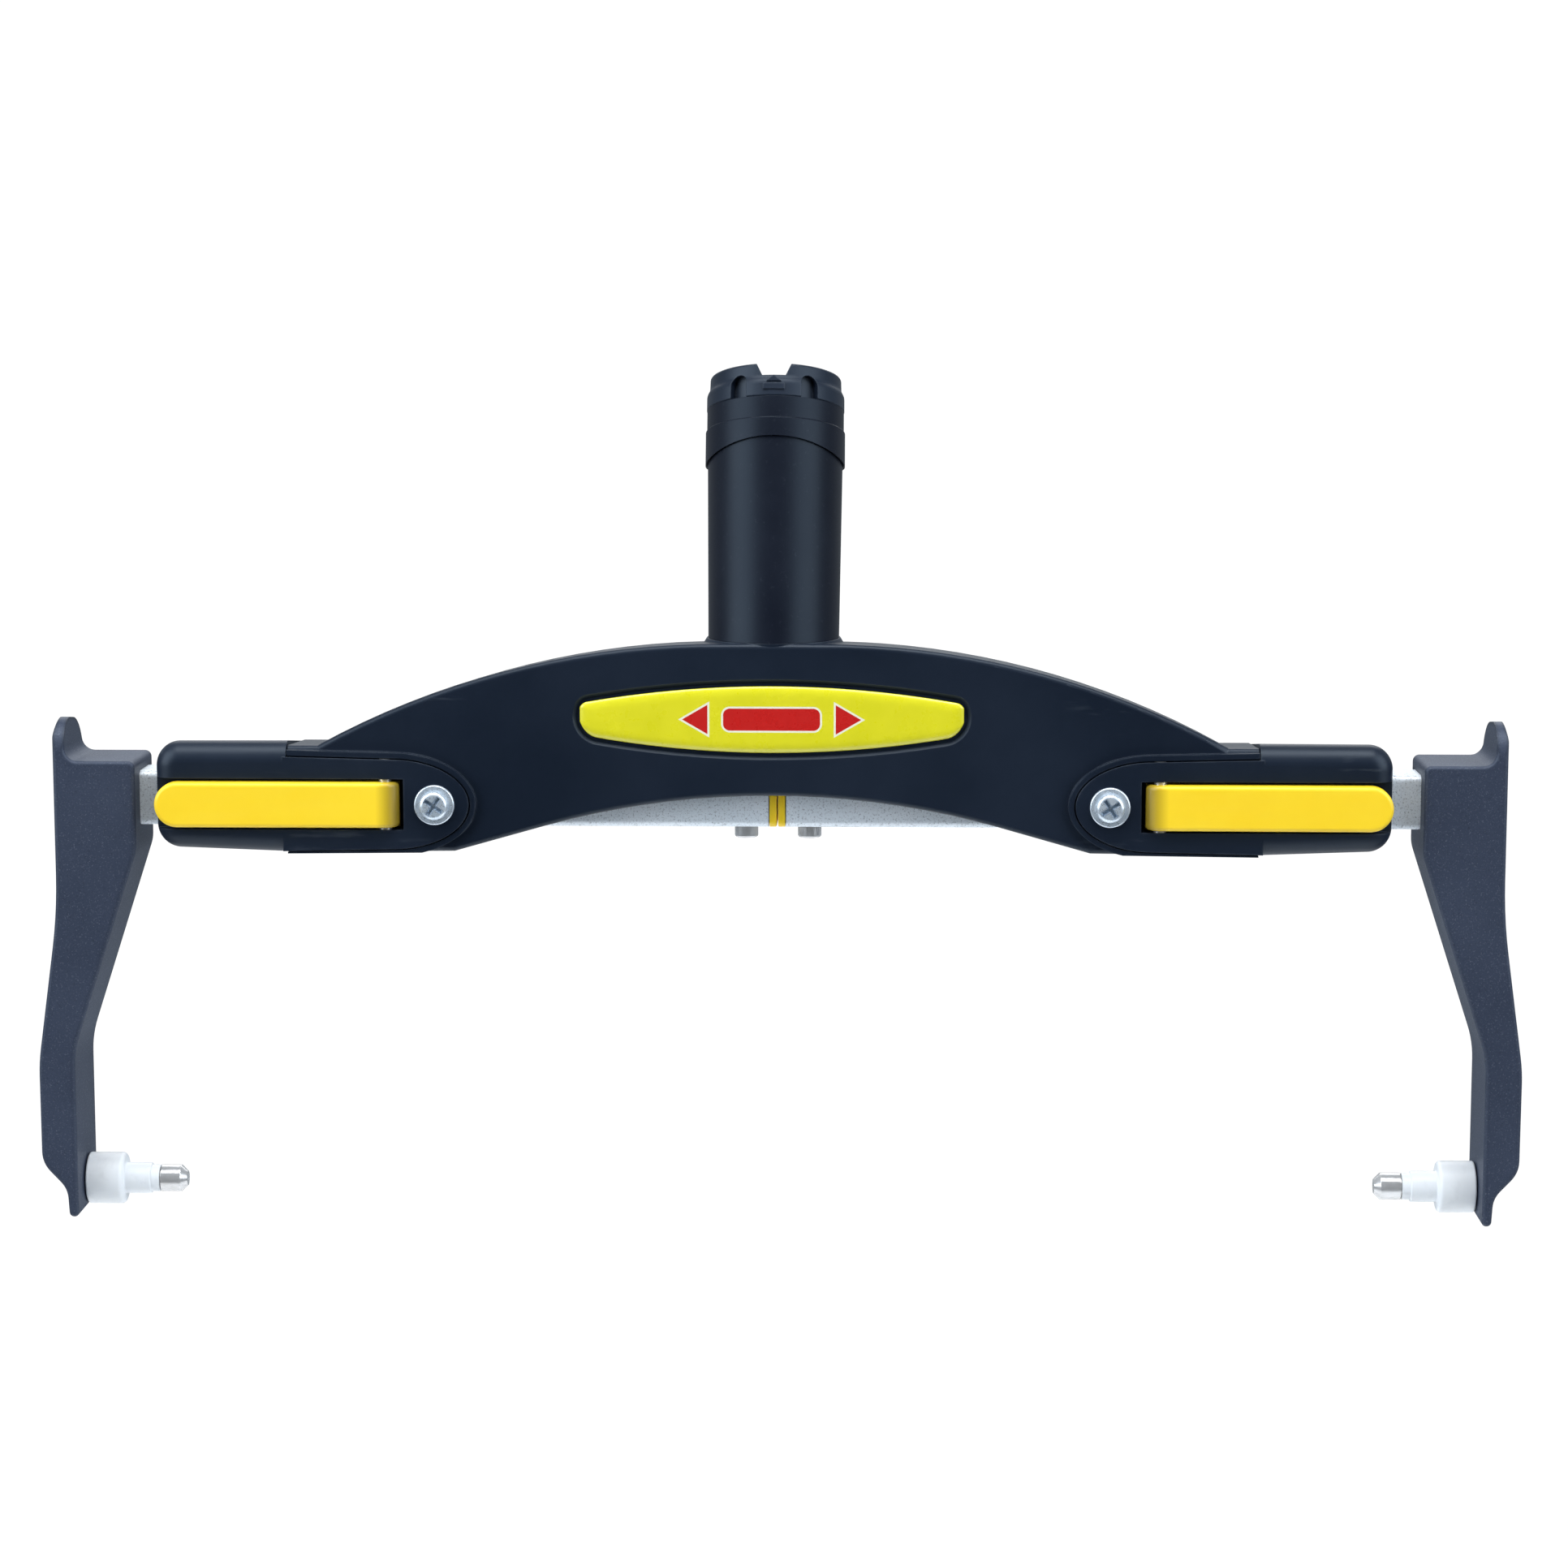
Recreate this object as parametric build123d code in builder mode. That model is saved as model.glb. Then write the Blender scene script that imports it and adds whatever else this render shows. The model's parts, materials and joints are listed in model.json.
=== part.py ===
"""Adjustable paint roller frame for 12 to 18 inch covers, with a leaning screw socket for a pole.

A moulded yoke carries two square aluminium bars that slide outwards. Each bar ends in a cast
arm, whose steel pin and nylon bushing hold one end of the roller cover. A lever in each clamp
housing turns a cam that pushes a shoe against the bar and locks it.

Right-hand pieces are drawn and their mirror images are the left-hand ones. The origin is the
centre of the socket's thread where it starts, X runs along the bars, and Y points backwards.
"""

import os
from math import cos, pi, radians, sin

from build123d import *

os.makedirs("parts", exist_ok=True)

# --- Pole socket, heights along its leaning axis from the start of the thread ---
lean = radians(17)
neck_height = 37.3            # socket's foot above the bar axis
socket_foot = -58.05          # where the socket axis meets the neck
rim_top = 3.8
ring_foot = -4.25
collar_step = -9.25
collar_foot = -13.75
thread_r = 9.65               # minor radius of a 3/4 inch - 5 pole thread
thread_length = 42.0
insert_r = 11.2
core_r = 12.8
sleeve_foot_r = 15.15
sleeve_top_r = 15.9

# --- Bars and yoke, measured from the bar axis at the yoke's centre ---
neck_back = 2.5               # how far the socket's foot stands behind the bar axis
bar_size = 12.7
bar_wall = 1.6
bar_corner = 1.5
slide_gap = 0.3
way = bar_size / 2 + slide_gap            # half width of every channel the bar slides in
yoke_front = 13.5
yoke_back = 13.0
top_draft = radians(4.5)      # the yoke gets lower towards its back
skin = 3.0
jaw_end = 112.0
jaw_top = 13.4
jaw_foot = 11.6
pair_shift = 1.1              # both arms sit this far to the right of the yoke's centre
travel = 76.2                 # each arm, from the 12 inch setting to the 18 inch setting

# --- Clamp housing ---
housing_front = 15.5
housing_end = 142.8
guide_start = 82.8            # inner end of the housing's closed guide
plate_back = 11.0             # back of the nose plate that the screw holds
nose_centre = 87.4
nose_length = 17.5
nose_height = 10.4
nose_gap = 0.25
screw_x = 77.8
pivot_x = 89.4
pivot_front = 13.5            # how far the lever's pivot stands in front of the bar axis
pivot_r = 1.5
recess_half = 5.9
recess_floor = 12.2
recess_start = 85.0
chamber_end = 94.4

# --- Arm, pin and bushing, X measured from the middle of the pair of arms ---
cap_thickness = 1.65
cap_gap = 0.15                # half the space between the two end caps
cap_seam = 0.2                # between an end cap's flange and its bar
stop_x = 7.4
stop_head = 3.1               # height of the stop screw's head below the bar
groove_floor = 9.8
arm_face = 149.0
arm_front = 12.5
arm_back = 8.5
pin_z = -92.5
pin_tip = 140.85
pin_head_r = 3.175
pin_shank_r = 2.4
running_gap = 0.05
journal_r = 3.65
flange_r = 6.1
shoulder = 155.6
foot_face = 164.7

bar_y = socket_foot * sin(lean) - neck_back
bar_z = socket_foot * cos(lean) - neck_height
bar_centre = (0, bar_y, bar_z)

# Working planes: plan looks down, face looks from the front, across cuts the bars.
plan = Plane(origin=bar_centre)
face = Plane(origin=bar_centre, x_dir=(1, 0, 0), z_dir=(0, -1, 0))
across = Plane(origin=bar_centre, x_dir=(0, 1, 0), z_dir=(1, 0, 0))
pin_face = Plane(origin=(0, bar_y, bar_z + pin_z), x_dir=(1, 0, 0), z_dir=(0, -1, 0))
pin_axis = Axis((0, bar_y, bar_z + pin_z), (1, 0, 0))
socket = Plane(origin=(0, 0, 0), x_dir=(1, 0, 0), z_dir=(0, sin(lean), cos(lean)))
socket_side = Plane(origin=(0, 0, 0), x_dir=(1, 0, 0), z_dir=(0, -cos(lean), sin(lean)))
socket_axis = Axis((0, 0, 0), (0, sin(lean), cos(lean)))


def export_piece(piece, name):
    """Label one finished piece and write it."""
    piece.part.label = name
    export_step(piece.part, f"parts/{name}.step")


def export_pair(piece, name, shift=0):
    """Write a right-hand piece and its mirror image, both moved along the bars by shift."""
    for side, solid in (("right", piece.part), ("left", piece.part.mirror(Plane.YZ))):
        with BuildPart() as placed:
            with Locations((shift, 0, 0)):
                add(solid)
        export_piece(placed, f"{side}_{name}")


def nose_outline(grow):
    """Front view of the clamp housing's inner end, grown outwards by a gap."""
    with BuildSketch() as outline:
        with BuildLine():
            EllipticalCenterArc(
                (nose_centre, 0), nose_length + grow, nose_height + grow, start_angle=90, arc_size=180
            )
            Line((nose_centre, nose_height + grow), (jaw_end + 1, 11 + grow))
            Line((jaw_end + 1, 11 + grow), (jaw_end + 1, -11 - grow))
            Line((jaw_end + 1, -11 - grow), (nose_centre, -nose_height - grow))
        make_face()
    return outline.sketch


# --- Yoke: one moulding, open at the back, with a neck for the socket on top ---
with BuildSketch() as yoke_outline:
    with BuildLine():
        Line((-17, 37.2), (17, 37.2))
        ThreePointArc((17, 37.2), (60, 31.2), (105, jaw_top))
        Polyline((105, jaw_top), (jaw_end, jaw_top), (jaw_end, -jaw_foot))
        Polyline((jaw_end, -jaw_foot), (73.5, -11.2), (52, -5.1))
        ThreePointArc((52, -5.1), (0, 2), (-52, -5.1))
        Polyline((-52, -5.1), (-73.5, -11.2), (-jaw_end, -jaw_foot))
        Polyline((-jaw_end, -jaw_foot), (-jaw_end, jaw_top), (-105, jaw_top))
        ThreePointArc((-105, jaw_top), (-60, 31.2), (-17, 37.2))
    make_face()

# Lens-shaped badge: two shallow arcs joined by short rounded ends.
with BuildSketch() as badge_outline:
    with BuildLine():
        ThreePointArc((-43.6, 23.6), (0, 27.5), (43.6, 23.6))
        Line((43.6, 23.6), (45.3, 16.4))
        ThreePointArc((45.3, 16.4), (0, 12.1), (-45.3, 16.4))
        Line((-45.3, 16.4), (-43.6, 23.6))
    make_face()
    fillet(badge_outline.vertices().group_by(Axis.Y)[0], 5)
    fillet(badge_outline.vertices().group_by(Axis.Y)[-1], 2)

rib_places = (24, 38, 52)
rib_thickness = 2.2
web_z = way + 1.1
cell_end = 66.0
upper_cell = ((69, 13.5), (69, 22), (93, 13.5))

with BuildPart() as yoke_body:
    with BuildSketch(face.offset(-yoke_back)):
        add(yoke_outline.sketch)
    extrude(amount=yoke_back + yoke_front)
    front_edges = yoke_body.faces().sort_by(Axis.Y)[0].edges()
    fillet(front_edges.filter_by_position(Axis.X, -jaw_end + 1, jaw_end - 1), 1.2)
    back_edges = yoke_body.faces().sort_by(Axis.Y)[-1].edges()
    fillet(back_edges.filter_by_position(Axis.X, -jaw_end + 1, jaw_end - 1), 1.2)
    # The top falls towards the back.
    with BuildSketch(face.offset(yoke_front - 1.5)):
        with Locations((0, jaw_top - 3)):
            Rectangle(2 * jaw_end + 4, 60, align=(Align.CENTER, Align.MIN))
        add(yoke_outline.sketch, mode=Mode.SUBTRACT)
    extrude(amount=40, dir=(0, cos(top_draft), -sin(top_draft)), mode=Mode.SUBTRACT)

    # The neck spreads the round foot of the socket into the yoke.
    with BuildSketch(plan.offset(30)):
        Ellipse(20, 12.9)
    with BuildSketch(plan.offset(neck_height)):
        with Locations((0, neck_back)):
            Ellipse(15.6, 15.9)
    loft()

    # Raised lips carry the clamp housings' seams at their front.
    with BuildSketch(face.offset(yoke_front - 3)):
        add(nose_outline(1.6))
        add(nose_outline(1.6).mirror(Plane.YZ))
        add(yoke_outline.sketch, mode=Mode.INTERSECT)
    extrude(amount=4.5)

    # Open cells behind the front skin, between the ribs and the web over the bars.
    with BuildSketch(face.offset(-yoke_back)):
        add(yoke_outline.sketch)
        Rectangle(2 * cell_end, 90, mode=Mode.INTERSECT)
        offset(amount=-skin, kind=Kind.INTERSECTION)
        for rib in rib_places:
            with Locations((rib, 0), (-rib, 0)):
                Rectangle(rib_thickness, 90, mode=Mode.SUBTRACT)
        with Locations((0, web_z)):
            Rectangle(2 * cell_end, rib_thickness, mode=Mode.SUBTRACT)
        with Locations((0, 30)):
            Rectangle(26, 30, mode=Mode.SUBTRACT)
    extrude(amount=yoke_back + yoke_front - skin, mode=Mode.SUBTRACT)
    with BuildSketch(face.offset(-yoke_back)):
        for side in (1, -1):
            Polygon(*[(side * x, z) for x, z in upper_cell], align=None)
    extrude(amount=yoke_back + yoke_front - skin, mode=Mode.SUBTRACT)

    # Way for both bars: open behind the middle, closed near the jaws.
    with BuildSketch(face.offset(-yoke_back)):
        Rectangle(2 * cell_end, 2 * way)
    extrude(amount=yoke_back + way, mode=Mode.SUBTRACT)
    with BuildSketch(across.offset(-guide_start)):
        Rectangle(2 * way, 2 * way)
    extrude(amount=2 * guide_start, mode=Mode.SUBTRACT)

    # Groove in the floor for the stop screws under the bars.
    with BuildSketch(plan.offset(-groove_floor)):
        Rectangle(2 * guide_start, 6.5)
    extrude(amount=4, mode=Mode.SUBTRACT)

    # Pockets for the clamp housings: right through the jaws, shallow under the nose plates.
    with BuildSketch(face.offset(-plate_back)):
        add(nose_outline(nose_gap))
        add(nose_outline(nose_gap).mirror(Plane.YZ))
        Rectangle(2 * (guide_start - 0.3), 60, mode=Mode.SUBTRACT)
    extrude(amount=plate_back + 20, mode=Mode.SUBTRACT)
    with BuildSketch(face.offset(plate_back - 0.1)):
        add(nose_outline(nose_gap))
        add(nose_outline(nose_gap).mirror(Plane.YZ))
    extrude(amount=20, mode=Mode.SUBTRACT)

    # Tapped holes for the housing screws.
    with BuildSketch(face.offset(way)):
        with Locations((screw_x, 0), (-screw_x, 0)):
            Circle(1.9)
    extrude(amount=10, mode=Mode.SUBTRACT)

    # Sunk seat for the badge, with a bevelled rim.
    with BuildSketch(face.offset(yoke_front - 0.9)):
        add(badge_outline.sketch)
        offset(amount=0.6)
    with BuildSketch(face.offset(yoke_front + 0.1)):
        add(badge_outline.sketch)
        offset(amount=1.8)
    loft(mode=Mode.SUBTRACT)
export_piece(yoke_body, "yoke_body")

# --- Socket: core on the neck, sleeve, collar, castellated lock ring and threaded insert ---
with BuildPart() as socket_core:
    with BuildSketch(socket.offset(socket_foot - 8)):
        Circle(core_r)
    extrude(amount=ring_foot - socket_foot + 8)
    with BuildSketch(socket.offset(-thread_length)):
        Circle(insert_r)
    extrude(amount=thread_length, mode=Mode.SUBTRACT)
    split(bisect_by=plan.offset(neck_height), keep=Keep.TOP)
export_piece(socket_core, "socket_core")

with BuildPart() as socket_sleeve:
    with BuildSketch(socket.offset(socket_foot - 8)):
        Circle(sleeve_foot_r)
    with BuildSketch(socket.offset(collar_foot)):
        Circle(sleeve_top_r)
    loft()
    with BuildSketch(socket.offset(socket_foot - 8)):
        Circle(core_r)
    extrude(amount=collar_foot - socket_foot + 8, mode=Mode.SUBTRACT)
    split(bisect_by=plan.offset(neck_height), keep=Keep.TOP)
export_piece(socket_sleeve, "socket_sleeve")

# The collar's lower edge arches up at the front and back, and its upper half is set in.
collar_low_r = 16.4
collar_high_r = 16.1
arch_r = 40.0
with BuildPart() as socket_collar:
    with BuildSketch(socket.offset(collar_foot - 4)):
        Circle(collar_low_r)
    extrude(amount=collar_step - collar_foot + 4)
    fillet(socket_collar.faces().sort_by(socket_axis)[-1].edges(), 0.25)
    with BuildSketch(socket.offset(collar_foot - 4)):
        Circle(collar_high_r)
    extrude(amount=ring_foot - collar_foot + 4)
    with BuildSketch(socket_side) as under_arch:
        with BuildLine():
            arch = ThreePointArc(
                (-20, collar_foot - arch_r + (arch_r**2 - 20**2) ** 0.5),
                (0, collar_foot),
                (20, collar_foot - arch_r + (arch_r**2 - 20**2) ** 0.5),
            )
            Polyline(arch @ 1, (20, collar_foot - 20), (-20, collar_foot - 20), arch @ 0)
        make_face()
    extrude(amount=20, both=True, mode=Mode.SUBTRACT)
    with BuildSketch(socket.offset(collar_foot - 4)):
        Circle(core_r)
    extrude(amount=20, mode=Mode.SUBTRACT)
    # The sleeve's top end reaches up inside the collar's low sides.
    with BuildSketch(socket.offset(collar_foot - 4)):
        Circle(sleeve_top_r)
    extrude(amount=4, mode=Mode.SUBTRACT)
export_piece(socket_collar, "socket_collar")

# Castellated ring that a pole's lock drops into: two notches and four arched pockets.
ring_r = 16.2
ring_top_r = 15.4
ring_bore = 10.4
pocket_r = 2.15
pocket_top = 1.2
pocket_depth = 2.3
pad_depth = 1.6               # how deep the pad's root lies in the ring's wall
with BuildPart() as socket_lock_ring:
    with BuildSketch(socket_side):
        with BuildLine():
            FilletPolyline(
                (insert_r + running_gap, ring_foot),
                (ring_r - 0.25, ring_foot),
                (ring_r, ring_foot + 0.25),
                (ring_r, -0.7),
                (ring_top_r + 0.1, 0.6),
                (ring_top_r, rim_top),
                (ring_bore, rim_top),
                (ring_bore, 0),
                (insert_r + running_gap, 0),
                radius=[0, 0, 0, 2.2, 2.2, 0.7, 0.4, 0, 0],
                close=True,
            )
        make_face()
    revolve(axis=socket_axis)
    with BuildSketch(socket_side):
        with Locations((0, rim_top + 0.2)):
            Trapezoid(8.4, 3.15, 65, rotation=180, align=(Align.CENTER, Align.MIN))
    extrude(amount=20, both=True, mode=Mode.SUBTRACT)
    for turn in (radians(31), radians(149), radians(211), radians(329)):
        outwards = (sin(turn), -cos(turn) * cos(lean), cos(turn) * sin(lean))
        sideways = (cos(turn), sin(turn) * cos(lean), -sin(turn) * sin(lean))
        pocket = Plane(origin=(0, 0, 0), x_dir=sideways, z_dir=outwards)
        with BuildSketch(pocket.offset(ring_r - pocket_depth)):
            with Locations((0, pocket_top - pocket_r)):
                Circle(pocket_r)
                Rectangle(2 * pocket_r, 6, align=(Align.CENTER, Align.MAX))
        extrude(amount=5, mode=Mode.SUBTRACT)
    # Pointer and pad moulded under the front notch.
    with BuildSketch(socket_side.offset(ring_r - pad_depth)):
        with Locations((0, -0.3)):
            Triangle(a=3.4, b=2.2, c=2.2)
        with Locations((0, -2)):
            Rectangle(5, 1.4)
    extrude(amount=pad_depth + 0.25)
export_piece(socket_lock_ring, "socket_lock_ring")

with BuildPart() as threaded_insert:
    with BuildSketch(socket.offset(-thread_length)):
        Circle(insert_r - running_gap)
        Circle(thread_r, mode=Mode.SUBTRACT)
    extrude(amount=thread_length)
export_piece(threaded_insert, "threaded_insert")

# --- Badge: plain domed label ---
with BuildPart() as badge:
    with BuildSketch(face.offset(yoke_front - 0.9)):
        add(badge_outline.sketch)
    extrude(amount=1.6)
    fillet(badge.faces().sort_by(Axis.Y)[0].edges(), 0.8)
export_piece(badge, "badge")

# --- Clamp housing: outer sleeve, inner end that plugs into the jaw, and nose plate ---
housing_round = 4.6
housing_top = 14.3            # at the front, before the top falls away behind the rounding
housing_draft = radians(7.5)
with BuildSketch() as housing_outline:
    with BuildLine():
        FilletPolyline(
            (jaw_end + 0.15, -jaw_foot),
            (housing_end, -10.5),
            (housing_end, housing_top - 0.1),
            (jaw_end + 0.15, housing_top),
            radius=[0, 5.7, 5.7, 0],
            close=True,
        )
    make_face()

with BuildPart() as clamp_housing:
    with BuildSketch(face.offset(-yoke_back)):
        add(housing_outline.sketch)
    extrude(amount=yoke_back + housing_front)
    for index in (0, -1):
        end_edges = clamp_housing.faces().sort_by(Axis.Y)[index].edges()
        fillet(end_edges.filter_by_position(Axis.X, jaw_end + 1, housing_end + 1), housing_round)
    with BuildSketch(face.offset(housing_front - housing_round - 0.1)):
        with Locations((jaw_end, housing_top - 10)):
            Rectangle(40, 60, align=Align.MIN)
        add(housing_outline.sketch, mode=Mode.SUBTRACT)
    extrude(amount=40, dir=(0, cos(housing_draft), -sin(housing_draft)), mode=Mode.SUBTRACT)
    with BuildSketch(face.offset(-plate_back + 0.15)):
        add(nose_outline(0))
        with Locations((guide_start, 0)):
            Rectangle(60, 60, align=(Align.MIN, Align.CENTER), mode=Mode.INTERSECT)
    extrude(amount=plate_back - 0.15 + housing_front)
    with BuildSketch(face.offset(plate_back)):
        add(nose_outline(0))
    extrude(amount=housing_front - plate_back)

    with BuildSketch(across.offset(guide_start - 1)):
        Rectangle(2 * way, 2 * way)
    extrude(amount=70, mode=Mode.SUBTRACT)
    # Notch in the guide's floor that stops the screw under the bar.
    with BuildSketch(plan.offset(-groove_floor)):
        with Locations((guide_start - 1, 0)):
            Rectangle(stop_x + travel + 3.1 - guide_start + 1, 6.5, align=(Align.MIN, Align.CENTER))
    extrude(amount=4, mode=Mode.SUBTRACT)
    # Recess for the lever, open at the outer end, and chamber for its cam and the shoe.
    with BuildSketch(face.offset(recess_floor)):
        with Locations((recess_start, 0)):
            Rectangle(70, 2 * recess_half, align=(Align.MIN, Align.CENTER))
    extrude(amount=10, mode=Mode.SUBTRACT)
    with BuildSketch(face):
        with Locations(((recess_start + chamber_end) / 2, 0)):
            Rectangle(chamber_end - recess_start, 2 * recess_half)
    extrude(amount=20, mode=Mode.SUBTRACT)
    with BuildSketch(plan.offset(-15)):
        with Locations((pivot_x, -pivot_front)):
            Circle(pivot_r)
    extrude(amount=30, mode=Mode.SUBTRACT)
    with BuildSketch(face.offset(plate_back - 1)):
        with Locations((screw_x, 0)):
            Circle(2.1)
    extrude(amount=10, mode=Mode.SUBTRACT)
export_pair(clamp_housing, "clamp_housing")

# --- Screws that hold the housings' nose plates ---
screw_face = face.offset(housing_front)
washer_thickness = 0.9
with BuildPart() as housing_washer:
    with BuildSketch(screw_face):
        with Locations((screw_x, 0)):
            Circle(4.65)
            Circle(2.1, mode=Mode.SUBTRACT)
    extrude(amount=washer_thickness)
    fillet(housing_washer.faces().sort_by(Axis.Y)[0].edges().sort_by(SortBy.RADIUS)[-1], 0.4)
export_pair(housing_washer, "housing_washer")

with BuildPart() as housing_screw:
    with BuildSketch(screw_face.offset(washer_thickness)):
        with Locations((screw_x, 0)):
            Circle(3.35)
    extrude(amount=2)
    fillet(housing_screw.faces().sort_by(Axis.Y)[0].edges(), 1.1)
    with BuildSketch(face.offset(way + 0.35)):
        with Locations((screw_x, 0)):
            Circle(1.9 - running_gap)
    extrude(amount=housing_front + washer_thickness - way - 0.35)
    with BuildSketch(screw_face.offset(washer_thickness + 2)):
        with Locations((screw_x, 0)):
            Rectangle(4.8, 1, rotation=33)
            Rectangle(4.8, 1, rotation=123)
    extrude(amount=-1.5, taper=12, mode=Mode.SUBTRACT)
export_pair(housing_screw, "housing_screw")

# --- Clamp lever, its pivot pin and the shoe that its cam pushes ---
with BuildPart() as lever_pin:
    with BuildSketch(plan.offset(-nose_height - 0.2)):
        with Locations((pivot_x, -pivot_front)):
            Circle(pivot_r)
    extrude(amount=2 * nose_height + 0.4)
    chamfer(lever_pin.edges().filter_by(GeomType.CIRCLE), 0.3)
export_pair(lever_pin, "lever_pin")

cam_r = 4.2
cam_drop = 0.8                # how far the shoe backs off when the lever is open
lever_opening = pi / 2
lever_half = 5.25
lever_tip = 142.5
head_front = 4.1
lever_plane = Plane(origin=(pivot_x, bar_y - pivot_front, bar_z))


def cam_point(turn):
    """Point on the cam's spiral face, turn radians inwards from its contact with the shoe."""
    reach = cam_r - cam_drop * turn / lever_opening
    return (-reach * sin(turn), reach * cos(turn))


with BuildPart() as lever:
    with BuildSketch(lever_plane):
        with BuildLine():
            cam_face = Spline([cam_point(step * lever_opening / 4) for step in range(5)])
            front_line = Line((0, -head_front), (60, -head_front - 0.5))
            TangentArc(front_line @ 0, cam_face @ 1, tangent=-(front_line % 0))
            end_line = Line(front_line @ 1, (60, -head_front + 3))
            under_tip = ThreePointArc(end_line @ 1, (48, -head_front + 3.8), (40, 0.7))
            back_line = Line(under_tip @ 1, (4.6, 0.7))
            Polyline(back_line @ 1, (3.4, 2.6), cam_face @ 0)
        make_face()
    extrude(amount=lever_half, both=True)
    with BuildSketch(face.offset(5)):
        with Locations((lever_tip - lever_half, 0)):
            Circle(lever_half)
            Rectangle(70, 2 * lever_half, align=(Align.MAX, Align.CENTER))
    extrude(amount=30, mode=Mode.INTERSECT)
    # Round every edge of the front and the head, except the tangent line between the two.
    front_faces = lever.faces().sort_by(Axis.Y)[:2]
    outer_edges = front_faces[0].edges() + front_faces[1].edges()
    fillet(outer_edges.filter_by(lambda edge: edge.length != 2 * lever_half), 1)
    with BuildSketch(lever_plane.offset(-lever_half - 1)):
        Circle(pivot_r + running_gap)
    extrude(amount=2 * lever_half + 2, mode=Mode.SUBTRACT)
export_pair(lever, "lever")

# Rounded pad between the cam and the bar.
shoe_front = pivot_front - cam_r - 0.3
with BuildPart() as clamp_shoe:
    with BuildSketch(face.offset(bar_size / 2 + 0.25)):
        with Locations(((recess_start + chamber_end) / 2, 0)):
            RectangleRounded(chamber_end - recess_start - 0.7, 2 * recess_half - 0.7, 1)
    extrude(amount=shoe_front - bar_size / 2 - 0.25)
    chamfer(clamp_shoe.faces().sort_by(Axis.Y)[-1].edges(), 0.3)
export_pair(clamp_shoe, "clamp_shoe")

# --- Sliding arms: square bar, end cap, stop screw, cast arm and its screw ---
with BuildPart() as bar:
    with BuildSketch(across.offset(cap_gap + cap_thickness + cap_seam)):
        RectangleRounded(bar_size, bar_size, bar_corner)
        RectangleRounded(bar_size - 2 * bar_wall, bar_size - 2 * bar_wall, 0.5, mode=Mode.SUBTRACT)
    extrude(amount=arm_face + 14 - cap_gap - cap_thickness - cap_seam)
    with BuildSketch(plan.offset(-bar_size)):
        with Locations((stop_x, 0)):
            Circle(1.5)
    extrude(amount=bar_size, mode=Mode.SUBTRACT)
    with BuildSketch(face.offset(-bar_size)):
        with Locations((arm_face + 7, 0)):
            Circle(2)
    extrude(amount=bar_size, mode=Mode.SUBTRACT)
export_pair(bar, "bar", pair_shift)

plug = bar_size - 2 * bar_wall - 2 * running_gap
with BuildPart() as bar_end_cap:
    with BuildSketch(across.offset(cap_gap)):
        RectangleRounded(bar_size, bar_size, bar_corner)
    extrude(amount=cap_thickness)
    fillet(bar_end_cap.faces().sort_by(Axis.X)[0].edges(), 0.4)
    with BuildSketch(across.offset(cap_gap + cap_thickness)):
        RectangleRounded(plug, plug, 0.8)
    extrude(amount=9)
    with BuildSketch(plan.offset(-bar_size)):
        with Locations((stop_x, 0)):
            Circle(1.5)
    extrude(amount=2 * bar_size, mode=Mode.SUBTRACT)
export_pair(bar_end_cap, "bar_end_cap", pair_shift)

stop_head_r = 2.75
with BuildPart() as stop_screw:
    with BuildSketch(plan.offset(-bar_size / 2)):
        with Locations((stop_x, 0)):
            Circle(stop_head_r)
    extrude(amount=-stop_head)
    fillet(stop_screw.faces().sort_by(Axis.Z)[0].edges(), 0.6)
    with BuildSketch(plan.offset(-bar_size / 2 - stop_head)):
        with Locations((stop_x, 0)):
            RegularPolygon(1.25, 6)
    extrude(amount=1.3, mode=Mode.SUBTRACT)
    with BuildSketch(plan.offset(-bar_size / 2 - 0.5)):
        with Locations((stop_x, 0)):
            Circle(1.5 - running_gap)
    extrude(amount=5.5)
export_pair(stop_screw, "stop_screw", pair_shift)

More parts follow.
